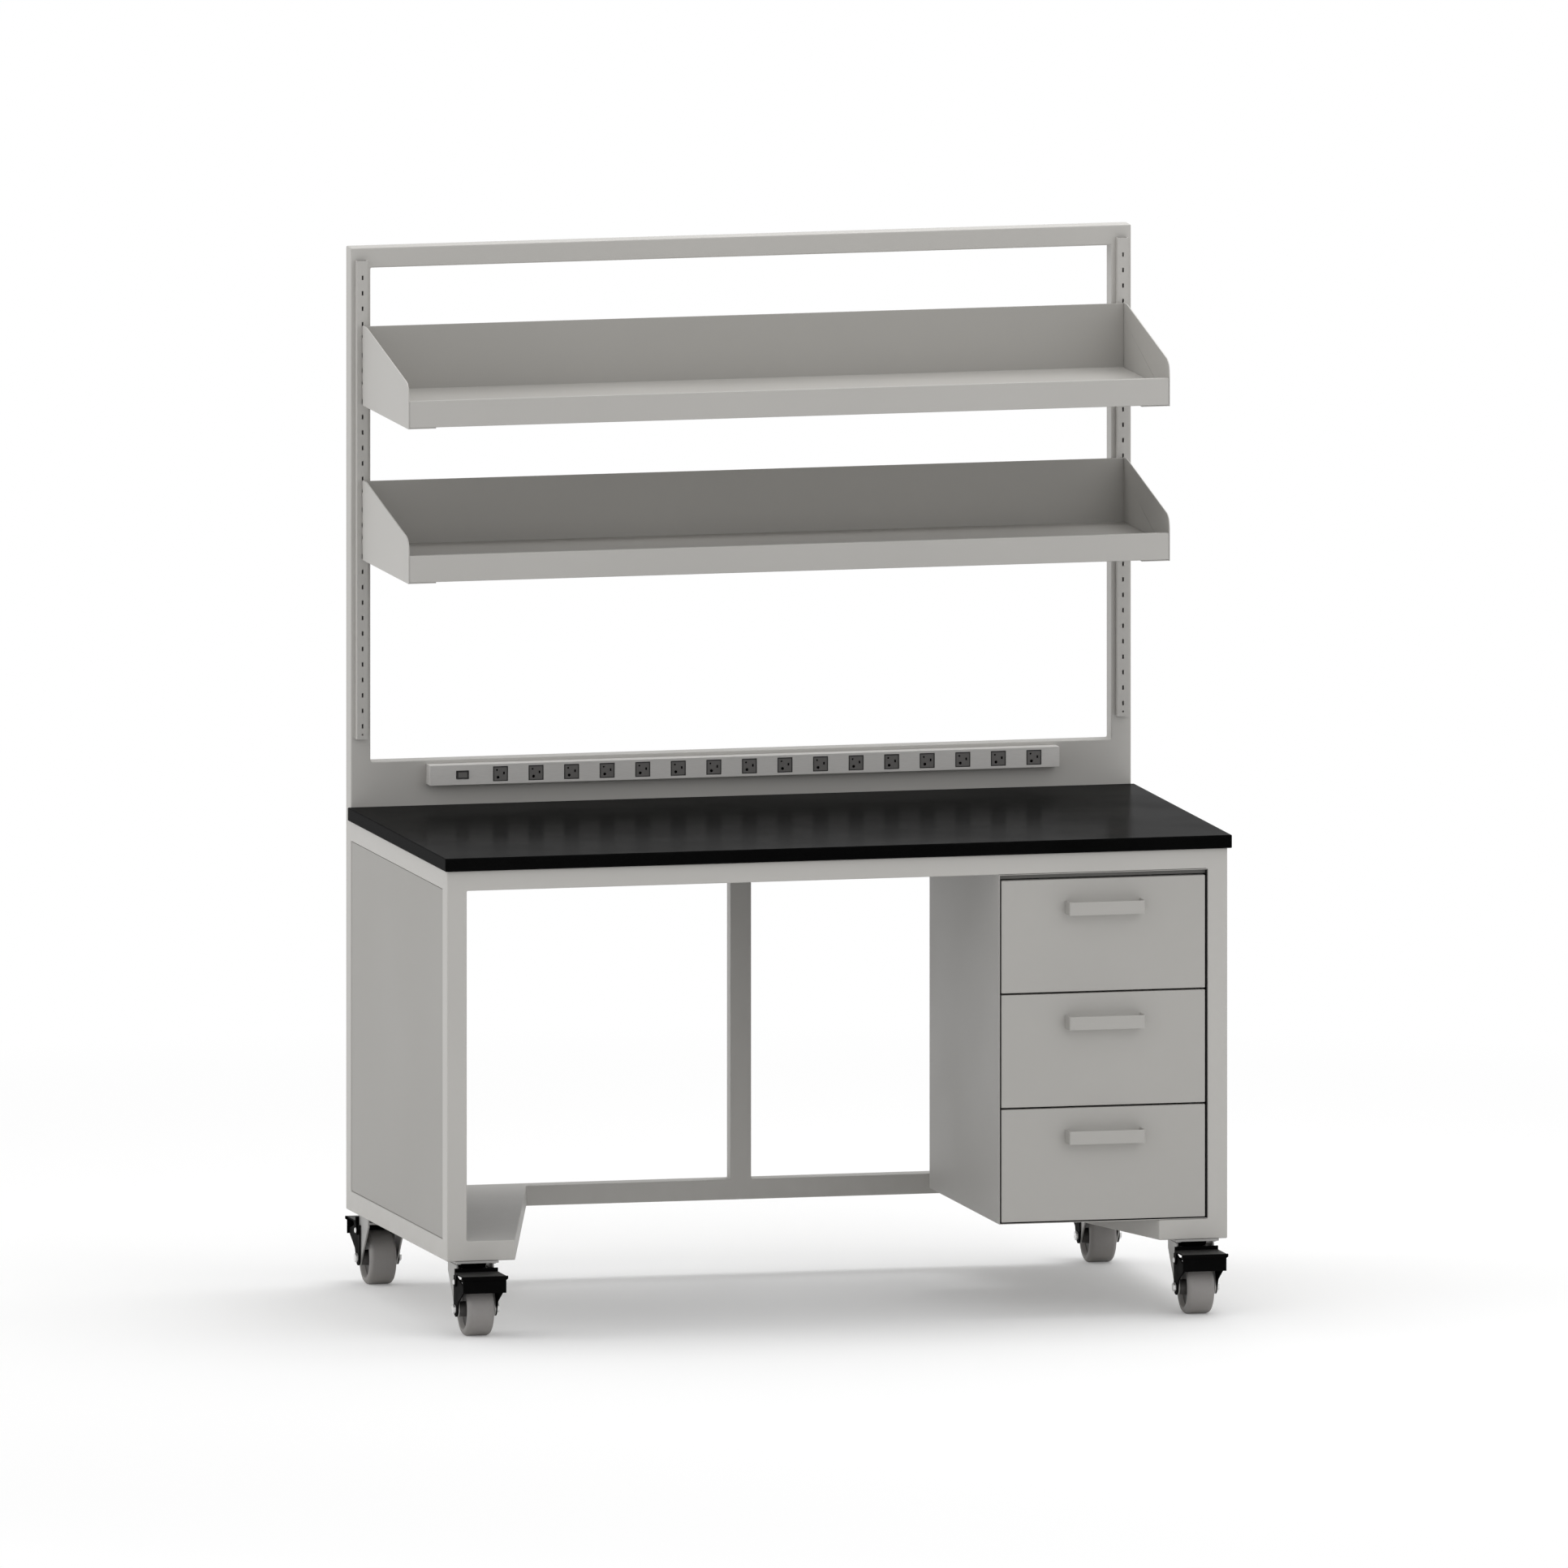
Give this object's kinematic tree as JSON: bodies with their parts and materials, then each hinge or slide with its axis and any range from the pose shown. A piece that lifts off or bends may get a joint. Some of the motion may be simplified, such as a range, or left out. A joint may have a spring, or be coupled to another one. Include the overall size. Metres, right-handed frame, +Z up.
{
  "type": "lab bench with reagent shelf",
  "caption": "Mobile laboratory bench with a black worktop, a power rail, hooked reagent shelves on slotted uprights, a drawer cabinet and braked casters.",
  "frame": {"origin": "floor point under the middle of the bounding box", "axes": "+X to the user's right, +Y to the back frame, +Z up"},
  "size_m": [1.5, 0.924, 1.94],
  "materials": {
    "powder_coat": "satin warm grey powder coat",
    "cabinet_coat": "satin warm grey powder coat",
    "worktop": "black solid laminate, semi-gloss",
    "rail_housing": "satin grey anodised profile",
    "socket_moulding": "dark grey moulding",
    "zinc_steel": "zinc-plated pressed steel",
    "brake_black": "black coated pressed steel",
    "wheel_grey": "grey non-marking rubber"
  },
  "bodies": {
    "frame": {"upright_left": "powder_coat", "upright_right": "powder_coat", "front_leg_left": "powder_coat", "front_leg_right": "powder_coat", "side_rail_left": "powder_coat", "side_rail_right": "powder_coat", "base_pan_left": "powder_coat", "base_pan_right": "powder_coat", "side_panel_left": "powder_coat", "side_panel_right": "powder_coat", "slotted_standard_left": "powder_coat", "slotted_standard_right": "powder_coat", "top_rail": "powder_coat", "front_apron_rail": "powder_coat", "rear_bottom_rail": "powder_coat", "service_upstand": "powder_coat", "rear_centre_post": "powder_coat", "worktop": "worktop", "power_rail_housing": "rail_housing", "socket_strip": "socket_moulding", "cabinet_shell": "cabinet_coat", "drawer_runner_left": "zinc_steel", "drawer_runner_right": "zinc_steel", "caster_front_left_plate": "zinc_steel", "caster_front_right_plate": "zinc_steel", "caster_rear_left_plate": "zinc_steel", "caster_rear_right_plate": "zinc_steel"},
    "upper_shelf": {"upper_shelf_tray": "powder_coat", "upper_shelf_bracket_left": "powder_coat", "upper_shelf_bracket_right": "powder_coat"},
    "lower_shelf": {"lower_shelf_tray": "powder_coat", "lower_shelf_bracket_left": "powder_coat", "lower_shelf_bracket_right": "powder_coat"},
    "top_drawer": {"top_drawer_front": "cabinet_coat", "top_drawer_box": "zinc_steel", "top_drawer_handle": "powder_coat"},
    "middle_drawer": {"middle_drawer_front": "cabinet_coat", "middle_drawer_box": "zinc_steel", "middle_drawer_handle": "powder_coat"},
    "bottom_drawer": {"bottom_drawer_front": "cabinet_coat", "bottom_drawer_box": "zinc_steel", "bottom_drawer_handle": "powder_coat"},
    "rocker": {"rocker_switch": "socket_moulding"},
    "caster_front_left": {"caster_front_left_fork": "zinc_steel", "caster_front_left_housing": "brake_black"},
    "wheel_front_left": {"caster_front_left_wheel": "wheel_grey"},
    "brake_front_left": {"caster_front_left_pedal": "brake_black"},
    "caster_front_right": {"caster_front_right_fork": "zinc_steel", "caster_front_right_housing": "brake_black"},
    "wheel_front_right": {"caster_front_right_wheel": "wheel_grey"},
    "brake_front_right": {"caster_front_right_pedal": "brake_black"},
    "caster_rear_left": {"caster_rear_left_fork": "zinc_steel", "caster_rear_left_housing": "brake_black"},
    "wheel_rear_left": {"caster_rear_left_wheel": "wheel_grey"},
    "brake_rear_left": {"caster_rear_left_pedal": "brake_black"},
    "caster_rear_right": {"caster_rear_right_fork": "zinc_steel", "caster_rear_right_housing": "brake_black"},
    "wheel_rear_right": {"caster_rear_right_wheel": "wheel_grey"},
    "brake_rear_right": {"caster_rear_right_pedal": "brake_black"}
  },
  "joints": [
    {"name": "upper_shelf_lift", "type": "slide", "parent": "frame", "child": "upper_shelf", "axis": [0, 0, 1], "range_m": [0, 0.005]},
    {"name": "lower_shelf_lift", "type": "slide", "parent": "frame", "child": "lower_shelf", "axis": [0, 0, 1], "range_m": [0, 0.005]},
    {"name": "top_drawer_slide", "type": "slide", "parent": "frame", "child": "top_drawer", "axis": [0, -1, 0], "range_m": [0, 0.42]},
    {"name": "middle_drawer_slide", "type": "slide", "parent": "frame", "child": "middle_drawer", "axis": [0, -1, 0], "range_m": [0, 0.42]},
    {"name": "bottom_drawer_slide", "type": "slide", "parent": "frame", "child": "bottom_drawer", "axis": [0, -1, 0], "range_m": [0, 0.42]},
    {"name": "rocker_tilt", "type": "hinge", "parent": "frame", "child": "rocker", "pos_m": [-0.538, 0.3347, 0.95325], "axis": [0, 0, 1], "range_deg": [-8, 8]},
    {"name": "swivel_front_left", "type": "hinge", "parent": "frame", "child": "caster_front_left", "pos_m": [-0.6865, -0.3515, 0.13], "axis": [0, 0, 1], "continuous": true},
    {"name": "roll_front_left", "type": "hinge", "parent": "caster_front_left", "child": "wheel_front_left", "pos_m": [-0.6865, -0.3865, 0.05], "axis": [1, 0, 0], "continuous": true},
    {"name": "press_front_left", "type": "hinge", "parent": "caster_front_left", "child": "brake_front_left", "pos_m": [-0.6865, -0.3885, 0.101], "axis": [1, 0, 0], "range_deg": [0, 10]},
    {"name": "swivel_front_right", "type": "hinge", "parent": "frame", "child": "caster_front_right", "pos_m": [0.6865, -0.3515, 0.13], "axis": [0, 0, 1], "continuous": true},
    {"name": "roll_front_right", "type": "hinge", "parent": "caster_front_right", "child": "wheel_front_right", "pos_m": [0.6865, -0.3865, 0.05], "axis": [1, 0, 0], "continuous": true},
    {"name": "press_front_right", "type": "hinge", "parent": "caster_front_right", "child": "brake_front_right", "pos_m": [0.6865, -0.3885, 0.101], "axis": [1, 0, 0], "range_deg": [0, 10]},
    {"name": "swivel_rear_left", "type": "hinge", "parent": "frame", "child": "caster_rear_left", "pos_m": [-0.6865, 0.3515, 0.13], "axis": [0, 0, 1], "continuous": true},
    {"name": "roll_rear_left", "type": "hinge", "parent": "caster_rear_left", "child": "wheel_rear_left", "pos_m": [-0.6865, 0.3865, 0.05], "axis": [1, 0, 0], "continuous": true},
    {"name": "press_rear_left", "type": "hinge", "parent": "caster_rear_left", "child": "brake_rear_left", "pos_m": [-0.6865, 0.3885, 0.101], "axis": [-1, 0, 0], "range_deg": [0, 10]},
    {"name": "swivel_rear_right", "type": "hinge", "parent": "frame", "child": "caster_rear_right", "pos_m": [0.6865, 0.3515, 0.13], "axis": [0, 0, 1], "continuous": true},
    {"name": "roll_rear_right", "type": "hinge", "parent": "caster_rear_right", "child": "wheel_rear_right", "pos_m": [0.6865, 0.3865, 0.05], "axis": [1, 0, 0], "continuous": true},
    {"name": "press_rear_right", "type": "hinge", "parent": "caster_rear_right", "child": "brake_rear_right", "pos_m": [0.6865, 0.3885, 0.101], "axis": [-1, 0, 0], "range_deg": [0, 10]}
  ]
}
